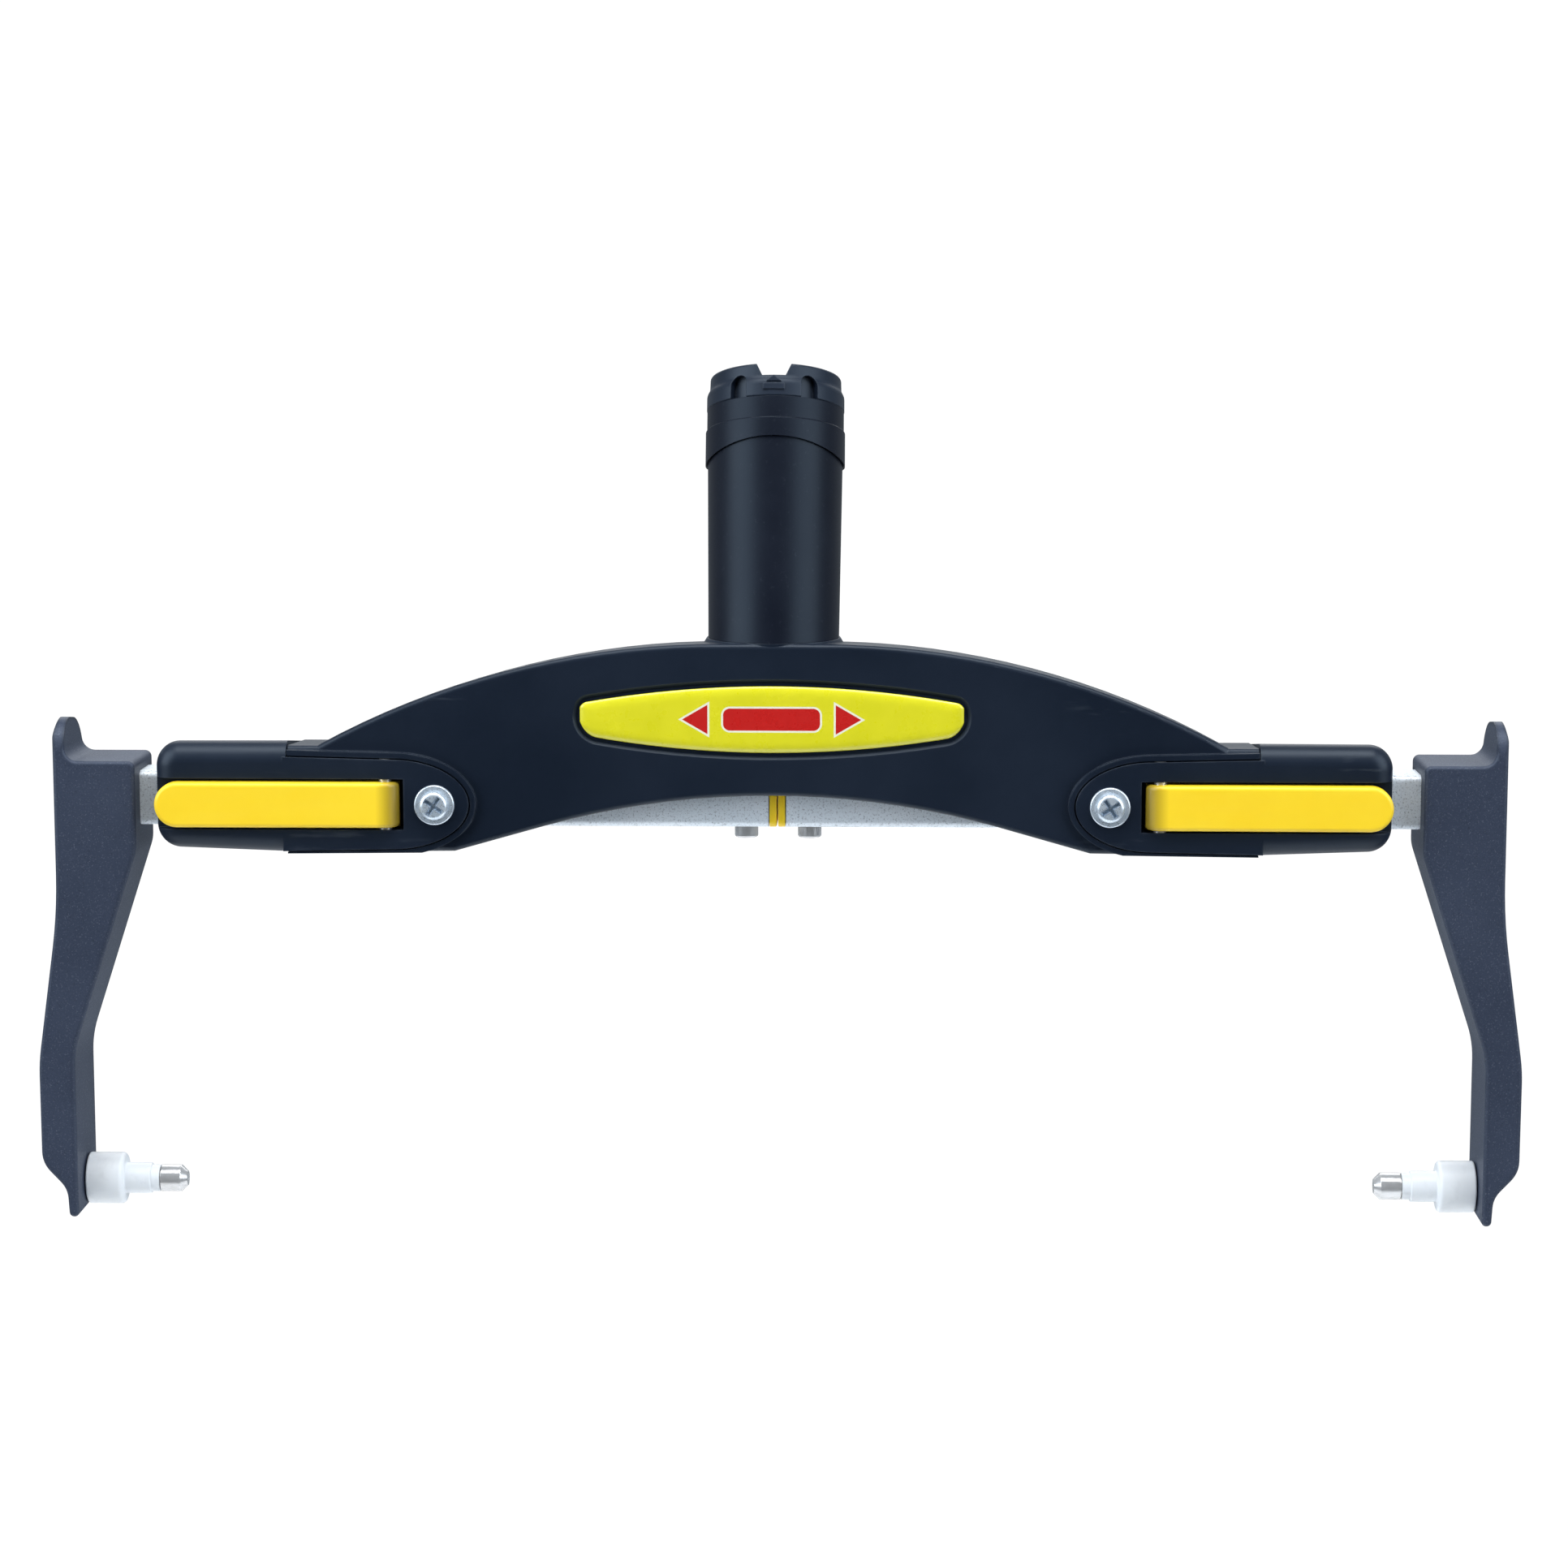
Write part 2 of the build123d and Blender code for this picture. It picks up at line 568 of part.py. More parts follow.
arm_points = (
    (arm_face, 9.4),
    (165.2, 9.4),
    (165.4, 20.2),
    (167.2, 20.2),
    (168.05, 15.5),
    (168.05, -26),
    (173.2, -62),
    (173.1, -86.2),
    (167.3, -92.4),
    (166.9, -99.1),
    (foot_face, -99.1),
    (foot_face, -59.3),
    (arm_face, -11.6),
)
arm_rounding = (1.5, 3, 0.8, 0.9, 8, 120, 45, 7, 6, 1.1, 1, 25, 9)
core_points = (
    (151.5, -12),
    (165.4, -12),
    (165.6, -27),
    (170.6, -62),
    (170.5, -82),
    (167.3, -84),
    (167.3, -58.5),
)
with BuildPart() as arm:
    with BuildSketch(face.offset(-arm_back)):
        with BuildLine():
            FilletPolyline(*arm_points, radius=arm_rounding, close=True)
        make_face()
    extrude(amount=arm_back + arm_front)
    fillet(arm.faces().sort_by(Axis.Y)[0].edges(), 0.9)
    # The ear above the bar is rounded at its front and back.
    with BuildSketch(across.offset(160)):
        with Locations((0, 9.5)):
            Rectangle(60, 30, align=(Align.CENTER, Align.MIN))
        with BuildLine():
            FilletPolyline(
                (-arm_front, 0),
                (-arm_front, 19.9),
                (arm_back - 0.2, 17.2),
                (arm_back, 0),
                radius=[0, 7.5, 10.5, 0],
                close=True,
            )
        make_face(mode=Mode.SUBTRACT)
    extrude(amount=20, mode=Mode.SUBTRACT)
    # Leg cored out from the back, with the bar's socket and the pin's hole.
    with BuildSketch(face.offset(-arm_back)):
        with BuildLine():
            FilletPolyline(*core_points, radius=1.2, close=True)
        make_face()
        with Locations((162.5, -40)):
            Rectangle(2.2, 40, rotation=25, mode=Mode.SUBTRACT)
    extrude(amount=arm_back + arm_front - 4, mode=Mode.SUBTRACT)
    with BuildSketch(across.offset(arm_face - 1)):
        RectangleRounded(bar_size + 2 * running_gap, bar_size + 2 * running_gap, bar_corner)
    extrude(amount=15, mode=Mode.SUBTRACT)
    with BuildSketch(face.offset(-arm_back)):
        with Locations((arm_face + 7, 0)):
            Circle(2.1)
    extrude(amount=arm_back - bar_size / 2 + 1, mode=Mode.SUBTRACT)
    with BuildSketch(across.offset(foot_face - 1)):
        with Locations((0, pin_z)):
            Circle(pin_shank_r + running_gap / 2)
    extrude(amount=10, mode=Mode.SUBTRACT)
export_pair(arm, "arm", pair_shift)

with BuildPart() as arm_screw:
    with BuildSketch(face.offset(-arm_back)):
        with Locations((arm_face + 7, 0)):
            Circle(3.6)
    extrude(amount=-2.2)
    fillet(arm_screw.faces().sort_by(Axis.Y)[-1].edges(), 0.9)
    with BuildSketch(face.offset(-arm_back - 2.2)):
        with Locations((arm_face + 7, 0)):
            RegularPolygon(1.5, 6)
    extrude(amount=1.4, mode=Mode.SUBTRACT)
    with BuildSketch(face.offset(-arm_back - 0.5)):
        with Locations((arm_face + 7, 0)):
            Circle(2 - running_gap)
    extrude(amount=6.5)
export_pair(arm_screw, "arm_screw", pair_shift)

# --- Axle pin with a chamfered head, and the bushing that turns on it ---
with BuildPart() as axle_pin:
    with BuildSketch(pin_face):
        with BuildLine():
            Polyline(
                (pin_tip, 0),
                (pin_tip, pin_head_r - 1.45),
                (pin_tip + 1.5, pin_head_r),
                (pin_tip + 6.2, pin_head_r),
                (pin_tip + 6.2, pin_shank_r),
                (167, pin_shank_r),
                (167, 0),
                close=True,
            )
        make_face()
    revolve(axis=pin_axis)
export_pair(axle_pin, "axle_pin", pair_shift)

lip_start = pin_tip + 6.2 + 0.3
journal_start = 149.4
with BuildPart() as bushing:
    with BuildSketch(pin_face):
        with BuildLine():
            FilletPolyline(
                (lip_start, pin_shank_r + running_gap),
                (lip_start, pin_head_r),
                (journal_start, pin_head_r),
                (journal_start, journal_r),
                (shoulder, journal_r),
                (shoulder, flange_r),
                (foot_face - 0.3, flange_r),
                (foot_face - 0.3, pin_shank_r + running_gap),
                radius=[0, 0.2, 0, 0.3, 0.3, 1, 0.5, 0],
                close=True,
            )
        make_face()
    revolve(axis=pin_axis)
export_pair(bushing, "bushing", pair_shift)
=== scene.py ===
"""Studio scene of the adjustable paint roller frame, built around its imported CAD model."""

import json
from math import cos, pi, radians, sin

import bpy
from mathutils import Matrix, Vector


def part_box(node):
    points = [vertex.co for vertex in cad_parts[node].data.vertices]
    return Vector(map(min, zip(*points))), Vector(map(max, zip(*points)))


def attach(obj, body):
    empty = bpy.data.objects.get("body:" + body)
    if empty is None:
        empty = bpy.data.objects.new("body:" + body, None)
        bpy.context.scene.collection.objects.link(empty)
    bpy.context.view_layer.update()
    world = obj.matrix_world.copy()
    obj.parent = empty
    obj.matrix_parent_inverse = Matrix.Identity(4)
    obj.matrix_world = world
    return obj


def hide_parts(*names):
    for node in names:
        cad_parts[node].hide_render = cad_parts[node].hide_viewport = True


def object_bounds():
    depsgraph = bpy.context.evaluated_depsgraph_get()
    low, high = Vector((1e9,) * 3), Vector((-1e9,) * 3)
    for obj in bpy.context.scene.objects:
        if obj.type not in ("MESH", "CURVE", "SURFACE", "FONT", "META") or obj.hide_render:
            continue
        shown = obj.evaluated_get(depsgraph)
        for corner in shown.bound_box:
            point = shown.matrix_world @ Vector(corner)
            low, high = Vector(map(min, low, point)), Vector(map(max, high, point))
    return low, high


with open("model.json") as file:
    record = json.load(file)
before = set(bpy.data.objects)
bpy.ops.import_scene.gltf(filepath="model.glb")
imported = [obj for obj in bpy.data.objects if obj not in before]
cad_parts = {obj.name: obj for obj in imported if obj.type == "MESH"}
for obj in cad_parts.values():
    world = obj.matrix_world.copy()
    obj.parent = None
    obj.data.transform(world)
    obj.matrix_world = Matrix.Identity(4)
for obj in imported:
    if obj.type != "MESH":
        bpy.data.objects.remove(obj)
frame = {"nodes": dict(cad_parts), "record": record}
cad_low, cad_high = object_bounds()
nodes = frame["nodes"]
MM = 0.001
LEAN = radians(17)

# --- Places read from the CAD model ---
badge_low, badge_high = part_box("badge")
bar_low, bar_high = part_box("left_bar")
bar_centre = Vector((0, (bar_low.y + bar_high.y) / 2, (bar_low.z + bar_high.z) / 2))


def rgb(red, green, blue):
    return (red, green, blue, 1.0)


# --- Materials ---
class Shader:
    """One procedural material: a Principled shader and the nodes that feed it."""

    def __init__(
        self, name, roughness, metallic=0.0, specular=0.5, coat=0.0, coat_roughness=0.1, tint=1.0
    ):
        self.material = bpy.data.materials.new(name)
        self.material.use_nodes = True
        self.tree = self.material.node_tree
        self.surface = self.tree.nodes["Principled BSDF"]
        for socket, value in (
            ("Roughness", roughness),
            ("Metallic", metallic),
            ("Specular IOR Level", specular),
            ("Coat Weight", coat),
            ("Coat Roughness", coat_roughness),
            ("Specular Tint", rgb(tint, (1 + tint) / 2, 1)),
        ):
            self.surface.inputs[socket].default_value = value
        self.place = self.add("ShaderNodeTexCoord").outputs["Object"]

    def add(self, kind, inputs=(), **settings):
        """New node; inputs are (socket, value or output) pairs."""
        node = self.tree.nodes.new(kind)
        for key, value in settings.items():
            setattr(node, key, value)
        for socket, value in inputs:
            self.feed(node.inputs[socket], value)
        return node

    def feed(self, socket, value):
        """Connects an output to a socket, or sets the socket's own value."""
        if isinstance(value, bpy.types.NodeSocket):
            self.tree.links.new(value, socket)
        else:
            socket.default_value = value

    def math(self, operation, first, second=0.0, third=0.0):
        inputs = ((0, first), (1, second), (2, third))
        return self.add("ShaderNodeMath", inputs, operation=operation).outputs[0]

    def span(self, value, low, high, to_low=0.0, to_high=1.0):
        """value mapped from low..high to to_low..to_high, clamped."""
        inputs = (
            ("Value", value),
            ("From Min", low),
            ("From Max", high),
            ("To Min", to_low),
            ("To Max", to_high),
        )
        return self.add("ShaderNodeMapRange", inputs).outputs["Result"]

    def noise(self, scale, detail=3.0, roughness=0.55, stretch=None):
        """Noise with scale features per metre, stretched by three factors where given."""
        place = self.place
        if stretch:
            mapping = self.add("ShaderNodeMapping", (("Vector", place), ("Scale", stretch)))
            place = mapping.outputs["Vector"]
        inputs = (("Vector", place), ("Scale", scale), ("Detail", detail), ("Roughness", roughness))
        return self.add("ShaderNodeTexNoise", inputs).outputs["Fac"]

    def mix(self, factor, first, second):
        """Colour between first and second."""
        node = self.add("ShaderNodeMix", data_type="RGBA")
        self.feed(node.inputs[0], factor)
        self.feed(node.inputs[6], first)
        self.feed(node.inputs[7], second)
        return node.outputs[2]

    def edges(self, radius):
        """1 along edges and 0 on open faces."""
        soft = self.add("ShaderNodeBevel", (("Radius", radius),), samples=6).outputs["Normal"]
        sharp = self.add("ShaderNodeNewGeometry").outputs["Normal"]
        across = self.add("ShaderNodeVectorMath", ((0, soft), (1, sharp)), operation="DOT_PRODUCT")
        return self.span(across.outputs["Value"], 0.995, 0.8)

    def colour(self, value):
        self.feed(self.surface.inputs["Base Color"], value)

    def roughness(self, value):
        self.feed(self.surface.inputs["Roughness"], value)

    def relief(self, bumps, radius=0.0):
        """Bump maps given as (height, depth in metres, strength), over edges rounded by radius."""
        normal = None
        if radius:
            normal = self.add("ShaderNodeBevel", (("Radius", radius),), samples=6).outputs["Normal"]
        for height, depth, strength in bumps:
            inputs = [("Height", height), ("Distance", depth), ("Strength", strength)]
            if normal:
                inputs.append(("Normal", normal))
            normal = self.add("ShaderNodeBump", inputs).outputs["Normal"]
        self.feed(self.surface.inputs["Normal"], normal)
        return self.material


def moulded_nylon():
    """Near-black navy moulding: mould grain, flow patches, rubbed edges with a painted edge highlight
    and a few scuffs.
    """
    s = Shader("black_nylon", 0.42, specular=0.35, tint=0.75)
    flow = s.noise(22, 4)
    grain = s.noise(1500, 2)
    base = s.mix(s.span(flow, 0.3, 0.7), rgb(0.0050, 0.0092, 0.0190), rgb(0.0086, 0.0142, 0.0275))
    # Lighter edges: rubbed wear together with a painted highlight along the edges.
    rubbed_and_sheen_edges = s.math("MULTIPLY", s.edges(0.0009), s.span(s.noise(160, 4), 0.42, 0.68))
    base = s.mix(s.math("MULTIPLY", rubbed_and_sheen_edges, 0.55), base, rgb(0.045, 0.055, 0.072))
    streaks = s.span(s.noise(240, 5, 0.6, (0.20, 1.0, 1.6)), 0.58, 0.68)
    patches = s.span(s.noise(34, 2), 0.50, 0.62)
    # Handling scuffs gather at the noses and housings, away from the middle.
    split = s.add("ShaderNodeSeparateXYZ", (("Vector", s.place),))
    ends = s.span(s.math("ABSOLUTE", split.outputs["X"]), 0.066, 0.080)
    scuffs = s.math("MULTIPLY", s.math("MULTIPLY", streaks, patches), ends)
    base = s.mix(s.math("MULTIPLY", scuffs, 0.6), base, rgb(0.05, 0.062, 0.080))
    s.colour(base)
    rough = s.span(flow, 0.3, 0.7, 0.36, 0.46)
    s.roughness(s.math("ADD", rough, s.math("MULTIPLY", scuffs, 0.2)))
    return s.relief(((grain, 0.00004, 0.25), (s.noise(90, 3), 0.0002, 0.10)), 0.00025)


def soft_overmould():
    """Matte slate rubber: fine grain, faint blotches and lint-grey dust."""
    s = Shader("soft_black", 0.42, specular=0.25, tint=0.65)
    blotch = s.noise(45, 5, 0.6)
    base = s.mix(s.span(blotch, 0.3, 0.7), rgb(0.0022, 0.0032, 0.0085), rgb(0.0038, 0.0052, 0.0120))
    dust = s.span(s.noise(900, 4, 0.7), 0.6, 0.85)
    base = s.mix(s.math("MULTIPLY", dust, 0.25), base, rgb(0.06, 0.07, 0.09))
    s.colour(base)
    s.roughness(s.span(blotch, 0.3, 0.7, 0.38, 0.46))
    return s.relief(((s.noise(2600, 2), 0.00003, 0.35), (s.noise(350, 3), 0.00005, 0.15)), 0.0002)


def yellow_plastic():
    """Warm yellow semi-gloss moulding with slight mottling, fine scratches and a painted highlight along
    its edges.
    """
    s = Shader("yellow_plastic", 0.36, specular=0.45)
    mottle = s.noise(60, 4)
    base = s.mix(s.span(mottle, 0.3, 0.7), rgb(0.98, 0.66, 0.022), rgb(1.0, 0.70, 0.030))
    # Painted highlight: the edges are lightened towards pale yellow.
    base = s.mix(s.math("MULTIPLY", s.edges(0.0008), 0.3), base, rgb(1.0, 0.77, 0.10))
    grime = s.span(s.noise(420, 5, 0.7), 0.68, 0.82)
    base = s.mix(s.math("MULTIPLY", grime, 0.10), base, rgb(0.55, 0.36, 0.03))
    # Painted shade darkens the levers' heads where they turn into the housings.
    split = s.add("ShaderNodeSeparateXYZ", (("Vector", s.place),))
    along = s.math("ABSOLUTE", split.outputs["X"])
    # painted_head_shade: painted shade, darkest at the inner end of each lever head.
    painted_head_shade = s.math("MULTIPLY", s.span(along, 0.0912, 0.0866), s.math("GREATER_THAN", along, 0.05))
    base = s.mix(s.math("MULTIPLY", painted_head_shade, 0.85), base, rgb(0.10, 0.070, 0.010))
    s.colour(base)
    s.surface.inputs["Subsurface Weight"].default_value = 0.08
    s.surface.inputs["Subsurface Radius"].default_value = (0.0012, 0.0008, 0.0002)
    scratch = s.noise(300, 5, 0.6, (0.2, 1.0, 2.5))
    s.roughness(s.span(scratch, 0.45, 0.75, 0.32, 0.48))
    return s.relief(((s.noise(1400, 2), 0.00003, 0.18), (scratch, 0.00002, 0.15)), 0.0002)


def blasted_aluminium():
    """Bead-blasted anodised aluminium: pale grey with fine dark specks and draw lines."""
    s = Shader("bar_aluminium", 0.5, metallic=0.2, specular=0.4)
    cloud = s.noise(50, 4)
    speck = s.span(s.noise(1900, 4, 0.8), 0.53, 0.66)
    draw = s.noise(700, 3, 0.5, (0.03, 1.0, 1.0))
    base = s.mix(s.span(cloud, 0.3, 0.7), rgb(0.78, 0.86, 0.93), rgb(0.88, 0.94, 1.0))
    base = s.mix(s.math("MULTIPLY", speck, 0.8), base, rgb(0.14, 0.16, 0.20))
    base = s.mix(s.math("MULTIPLY", s.span(draw, 0.5, 0.8), 0.2), base, rgb(0.62, 0.66, 0.70))
    # Painted shade: the edges are darkened.
    base = s.mix(s.math("MULTIPLY", s.edges(0.0006), 0.7), base, rgb(0.20, 0.24, 0.29))
    s.colour(base)
    s.roughness(s.span(speck, 0.0, 1.0, 0.42, 0.6))
    return s.relief(((s.noise(2200, 3, 0.7), 0.00004, 0.35), (draw, 0.00003, 0.12)), 0.0002)


def powder_coat():
    """Dark slate powder coat with orange-peel relief, metallic flecks and painted shade along the
    bevels.
    """
    s = Shader("arm_coating", 0.46, metallic=0.15, specular=0.5, tint=0.8)
    cloud = s.noise(38, 4)
    base = s.mix(s.span(cloud, 0.3, 0.7), rgb(0.027, 0.036, 0.064), rgb(0.038, 0.049, 0.082))
    fleck = s.span(s.noise(2400, 3, 0.8), 0.56, 0.74)
    base = s.mix(s.math("MULTIPLY", fleck, 0.55), base, rgb(0.17, 0.19, 0.24))
    pit = s.span(s.noise(1700, 3, 0.8), 0.42, 0.26)
    base = s.mix(s.math("MULTIPLY", pit, 0.6), base, rgb(0.010, 0.012, 0.020))
    # Painted shade: the bevels are darkened to near black.
    base = s.mix(s.math("MULTIPLY", s.edges(0.0018), 0.8), base, rgb(0.006, 0.009, 0.016))
    s.colour(base)
    s.roughness(s.span(fleck, 0.0, 1.0, 0.5, 0.3))
    return s.relief(((s.noise(1300, 3, 0.6), 0.00006, 0.4), (s.noise(280, 2), 0.0001, 0.15)), 0.0003)


def zinc_plate():
    """Bright zinc: bluish plating with cloudy passivation and tiny handling marks."""
    s = Shader("zinc", 0.3, metallic=0.65)
    cloud = s.noise(420, 4)
    base = s.mix(s.span(cloud, 0.3, 0.7), rgb(0.60, 0.70, 0.80), rgb(0.80, 0.88, 0.96))
    # Painted shade: edges and the cross recess are darkened.
    base = s.mix(s.math("MULTIPLY", s.edges(0.0006), 0.7), base, rgb(0.10, 0.15, 0.22))
    s.colour(base)
    s.roughness(s.span(s.noise(1300, 4, 0.7), 0.3, 0.7, 0.22, 0.4))
    return s.relief(((s.noise(900, 3), 0.00002, 0.12),), 0.00012)


def turned_steel():
    """Turned steel: bright, with close lathe rings around the pins' axis and light stains."""
    s = Shader("steel", 0.22, metallic=0.6)
    rings = s.noise(5200, 2, 0.5, (1.0, 0.02, 0.02))
    stain = s.noise(260, 4)
    base = s.mix(s.span(stain, 0.4, 0.7), rgb(0.72, 0.72, 0.73), rgb(0.60, 0.59, 0.58))
    s.colour(base)
    s.roughness(s.span(rings, 0.3, 0.7, 0.14, 0.26))
    return s.relief(((rings, 0.00002, 0.25),), 0.00015)


def white_nylon():
    """Translucent white nylon with lathe rings and a few grey finger marks."""
    s = Shader("white_nylon", 0.38, specular=0.5)
    smudge = s.span(s.noise(300, 4), 0.55, 0.8)
    s.colour(s.mix(s.math("MULTIPLY", smudge, 0.35), rgb(0.80, 0.83, 0.86), rgb(0.58, 0.60, 0.63)))
    s.surface.inputs["Subsurface Weight"].default_value = 0.25
    s.surface.inputs["Subsurface Radius"].default_value = (0.0015, 0.0014, 0.0013)
    rings = s.noise(2600, 2, 0.5, (1.0, 0.02, 0.02))
    s.roughness(s.span(rings, 0.3, 0.7, 0.32, 0.46))
    return s.relief(((rings, 0.00003, 0.2),), 0.0002)


def badge_resin():
    """Glossy clear resin over a yellow print with a plain width-adjustment pictogram."""
    s = Shader("badge_yellow", 0.3, coat=1.0, coat_roughness=0.06)
    split = s.add("ShaderNodeSeparateXYZ", (("Vector", s.place),))
    middle = (badge_low + badge_high) / 2
    along = s.math("ABSOLUTE", split.outputs["X"])
    up = s.math("ABSOLUTE", s.math("SUBTRACT", split.outputs["Z"], middle.z + 0.1 * MM))
    # Distance outside the arrow heads, mirrored left and right.
    slope = s.math("SUBTRACT", up, s.math("MULTIPLY", s.math("SUBTRACT", 21.5 * MM, along), 0.58))
    heads = s.math("MAXIMUM", s.math("SUBTRACT", 14.3 * MM, along), s.math("MULTIPLY", slope, 0.865))
    # Distance outside the rounded bar between them.
    out_x = s.math("MAXIMUM", s.math("SUBTRACT", along, 9.6 * MM), 0.0)
    out_z = s.math("MAXIMUM", s.math("SUBTRACT", up, 1.0 * MM), 0.0)
    corner = s.math("SQRT", s.math("ADD", s.math("POWER", out_x, 2.0), s.math("POWER", out_z, 2.0)))
    shape = s.math("MINIMUM", heads, s.math("SUBTRACT", corner, 2.0 * MM))
    outline = s.span(shape, 0.03 * MM, -0.03 * MM)
    filling = s.span(shape, -0.42 * MM, -0.48 * MM)
    print_tone = s.mix(s.span(s.noise(120, 3), 0.3, 0.7), rgb(0.70, 0.66, 0.012), rgb(0.76, 0.71, 0.018))
    base = s.mix(outline, print_tone, rgb(0.85, 0.83, 0.66))
    base = s.mix(filling, base, rgb(0.55, 0.012, 0.010))
    s.colour(base)
    s.roughness(s.span(s.noise(400, 3), 0.3, 0.7, 0.24, 0.36))
    return s.relief(((s.noise(70, 2), 0.0002, 0.08),))


finishes = {
    "black_nylon": moulded_nylon(),
    "soft_black": soft_overmould(),
    "yellow_plastic": yellow_plastic(),
    "bar_aluminium": blasted_aluminium(),
    "arm_coating": powder_coat(),
    "zinc": zinc_plate(),
    "steel": turned_steel(),
    "white_nylon": white_nylon(),
    "badge_yellow": badge_resin(),
}
for part in frame["record"]["subparts"]:
    mesh = nodes[part["node"]].data
    mesh.materials.clear()
    mesh.materials.append(finishes[part["material_slot"]])


# --- Detailed pieces that replace plain CAD nodes ---
def new_piece(name, vertices, faces, body, slot):
    mesh = bpy.data.meshes.new(name)
    mesh.from_pydata([tuple(v) for v in vertices], [], faces)
    mesh.validate()
    mesh.update()
    for polygon in mesh.polygons:
        polygon.use_smooth = True
    mesh.materials.append(finishes[slot])
    piece = bpy.data.objects.new(name, mesh)
    bpy.context.scene.collection.objects.link(piece)
    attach(piece, body)
    return piece


def threaded_lining():
    """The socket's lining with a thread cut into it: a trapezoidal helix, 5 turns to the inch."""
    pitch, depth = 5.08, 1.25
    length, outer, minor = 42.0, 11.15, 9.65
    crest, flank = 0.36, 0.28     # shares of half a pitch
    runout = 2.5                  # the thread fades out over this length at its inner end
    around, rows = 96, 126
    to_row = Matrix.Rotation(-LEAN, 4, "X")
    vertices = []
    for row in range(rows + 1):
        height = -length * row / rows
        for step in range(around):
            turn = 2 * pi * step / around
            phase = (height / pitch - step / around) % 1.0
            wave = abs(phase - 0.5) * 2
            groove = min(1.0, max(0.0, (wave - crest) / flank))
            end = min(1.0, max(0.0, (length + height) / runout))
            radius = minor + depth * groove * end
            vertices.append((radius * cos(turn), radius * sin(turn), height))
    for height in (-length, 0.0):
        for step in range(around):
            turn = 2 * pi * step / around
            vertices.append((outer * cos(turn), outer * sin(turn), height))
    faces = []
    rings = list(range(rows + 3))
    for low, high in zip(rings, rings[1:] + rings[:1]):
        for step in range(around):
            after = (step + 1) % around
            near, far = low * around, high * around
            faces.append((near + step, far + step, far + after, near + after))
    placed = [to_row @ (Vector(v) * MM) for v in vertices]
    piece = new_piece("socket_thread", placed, faces, "yoke", "black_nylon")
    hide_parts("threaded_insert")


def corner_drop(x, reach, run, rise):
    """How far an edge turns in at x, along a quarter ellipse of run and rise that ends at reach."""
    lap = max(0.0, abs(x) - (reach - run)) / run
    return rise * (1 - (1 - min(lap, 1.0) ** 2) ** 0.5)


def lens_edges(x):
    """Lower and upper edge of the badge at x from its middle, in mm above the bar axis."""
    reach = 44.4
    upper = 27.5 - 3.9 * (x / 43.6) ** 2
    lower = 12.1 + 4.3 * (x / 45.3) ** 2
    # The lens's ends are rounded, more at the bottom than at the top.
    return lower + corner_drop(x, reach, 4.2, 4.6), upper - corner_drop(x, reach, 1.8, 1.8)


def domed_badge():
    """Lens-shaped badge whose clear face domes up from a rounded rim."""
    columns, rows = 150, 28
    reach = 44.2
    back, rim, crown = -12.75, -13.35, -14.18
    rim_width = 2.4               # the face rises from rim to crown over this width
    end_slope = 0.9               # the ends rise a little slower than the long edges
    vertices, faces = [], []
    for column in range(columns + 1):
        angle = pi * column / columns
        x = -reach * cos(angle)
        lower, upper = lens_edges(x)
        for row in range(rows + 1):
            v = 0.5 - 0.5 * cos(pi * row / rows)
            z = lower + (upper - lower) * v
            inset = min(z - lower, upper - z, (reach - abs(x)) * end_slope)
            rise = (1 - (1 - min(inset / rim_width, 1.0)) ** 2) ** 0.5
            vertices.append((x, rim + (crown - rim) * rise, z))
    width = rows + 1
    for column in range(columns):
        for row in range(rows):
            a = column * width + row
            faces.append((a, a + width, a + width + 1, a + 1))
    border = [column * width for column in range(columns + 1)]
    border += [columns * width + row for row in range(1, rows + 1)]
    border += [column * width + rows for column in range(columns - 1, -1, -1)]
    border += [row for row in range(rows - 1, 0, -1)]
    start = len(vertices)
    for index in border:
        x, _, z = vertices[index]
        vertices.append((x, back, z))
    count = len(border)
    for step in range(count):
        after = (step + 1) % count
        faces.append((border[step], border[after], start + after, start + step))
    faces.append(tuple(range(start, start + count)))
    placed = [bar_centre + Vector(v) * MM for v in vertices]
    piece = new_piece("domed_badge", placed, faces, "yoke", "badge_yellow")
    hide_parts("badge")


threaded_lining()
domed_badge()

# --- Floor, light and camera ---
floor_radius = 0.62
floor_z = cad_low.z - 0.25
bpy.ops.mesh.primitive_circle_add(
    vertices=96, radius=floor_radius, fill_type="NGON", location=(0, 0, floor_z)
)
floor = bpy.context.object
floor.name = "studio_floor"
s = Shader("floor_paper", 0.9, specular=0.1)
s.colour(s.mix(s.span(s.noise(6, 3), 0.3, 0.7), rgb(0.93, 0.93, 0.93), rgb(0.96, 0.96, 0.96)))
# The paper fades out towards its rim, so that it has no visible edge.
off_middle = s.add("ShaderNodeVectorMath", ((0, s.place),), operation="LENGTH").outputs["Value"]
s.feed(s.surface.inputs["Alpha"], s.span(off_middle, 0.60, 0.32))
floor.data.materials.append(s.material)

world = bpy.data.worlds.new("studio")
bpy.context.scene.world = world
world.use_nodes = True
tree = world.node_tree
seen = tree.nodes["Background"]
seen.inputs["Color"].default_value = rgb(1, 1, 1)
seen.inputs["Strength"].default_value = 1.05
room = tree.nodes.new("ShaderNodeBackground")
room.inputs["Color"].default_value = rgb(0.84, 0.93, 1.0)
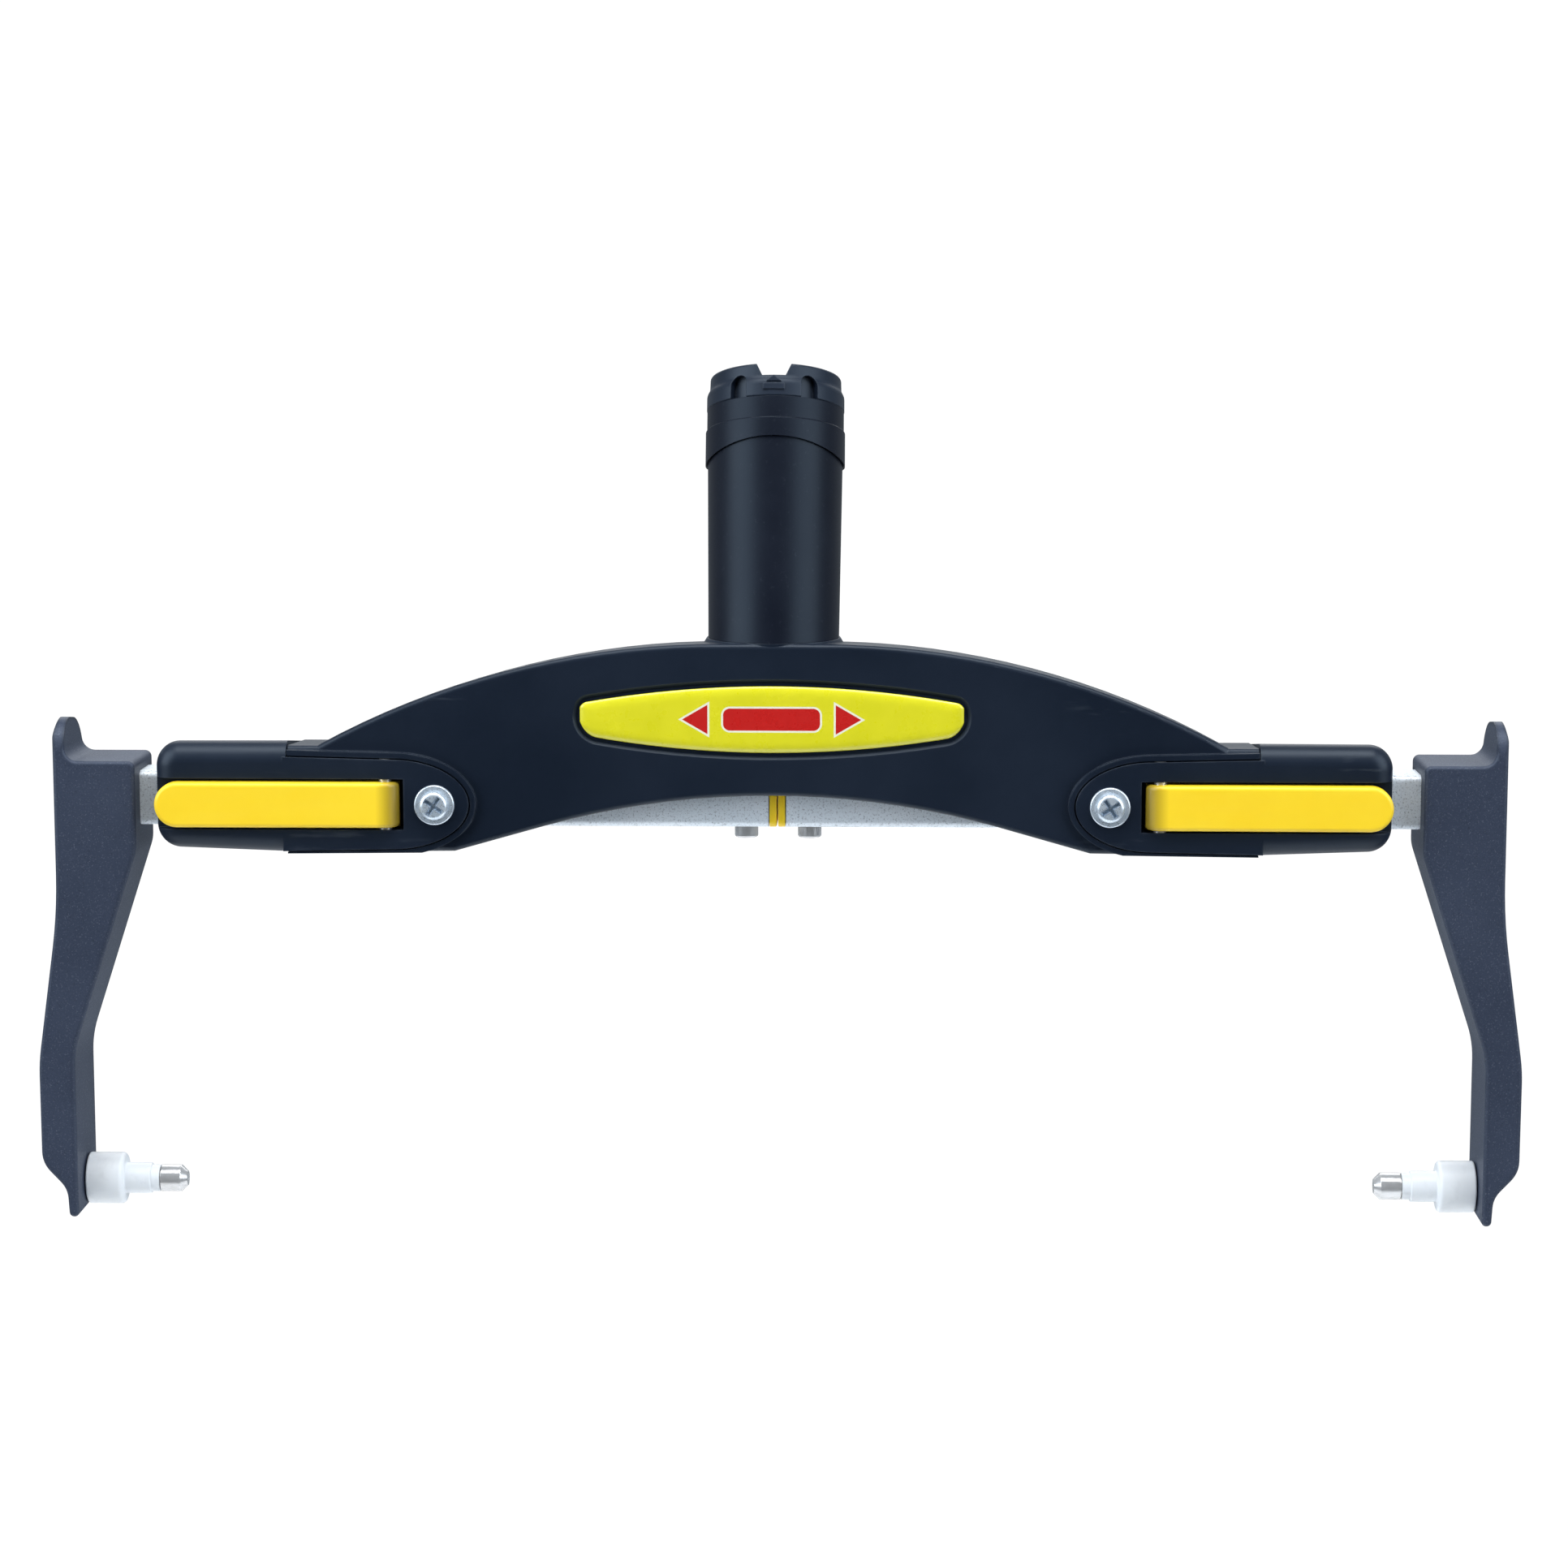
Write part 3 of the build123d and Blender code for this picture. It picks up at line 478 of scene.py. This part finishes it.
# The white backdrop glows behind the object, and the room in front of it is dim.
direction = tree.nodes.new("ShaderNodeTexCoord")
split = tree.nodes.new("ShaderNodeSeparateXYZ")
tree.links.new(direction.outputs["Generated"], split.inputs[0])
glow = tree.nodes.new("ShaderNodeMapRange")
for socket, value in (("From Min", -0.35), ("From Max", 0.6), ("To Min", 0.06), ("To Max", 0.36)):
    glow.inputs[socket].default_value = value
tree.links.new(split.outputs["Y"], glow.inputs["Value"])
tree.links.new(glow.outputs["Result"], room.inputs["Strength"])
path = tree.nodes.new("ShaderNodeLightPath")
choice = tree.nodes.new("ShaderNodeMixShader")
tree.links.new(path.outputs["Is Camera Ray"], choice.inputs[0])
tree.links.new(room.outputs[0], choice.inputs[1])
tree.links.new(seen.outputs[0], choice.inputs[2])
tree.links.new(choice.outputs[0], tree.nodes["World Output"].inputs["Surface"])


light_aim = Vector((0, -0.01, -0.07))
white = (1, 1, 1)
cool = (0.86, 0.93, 1.0)


def softbox(name, place, size, power, colour):
    light = bpy.data.lights.new(name, "AREA")
    light.shape = "RECTANGLE"
    light.size, light.size_y = size
    light.energy = power
    light.color = colour
    lamp = bpy.data.objects.new(name, light)
    bpy.context.scene.collection.objects.link(lamp)
    lamp.location = place
    lamp.rotation_euler = (light_aim - Vector(place)).to_track_quat("-Z", "Y").to_euler()


softbox("left_box", (-1.12, -0.6, 0.42), (1.1, 1.2), 18, cool)
softbox("right_box", (1.12, -0.6, 0.42), (1.1, 1.2), 15, cool)
softbox("top_box", (0, -0.4, 1.1), (1.3, 0.7), 18, white)
softbox("back_box", (0, 1.0, 0.6), (1.2, 0.6), 5, white)

camera = bpy.data.cameras.new("camera")
camera.sensor_width = 36
camera.lens = 85.71
camera.clip_start = 0.01
viewer = bpy.data.objects.new("camera", camera)
bpy.context.scene.collection.objects.link(viewer)
turn, rise, distance = radians(1.6), radians(8), 0.874
target = bar_centre + Vector((2.472, 0, 3.004)) * MM
viewer.location = target + distance * Vector((sin(turn) * cos(rise), -cos(turn) * cos(rise), sin(rise)))
viewer.rotation_euler = (target - viewer.location).to_track_quat("-Z", "Y").to_euler()
bpy.context.scene.camera = viewer
bpy.context.scene.view_settings.view_transform = "Standard"
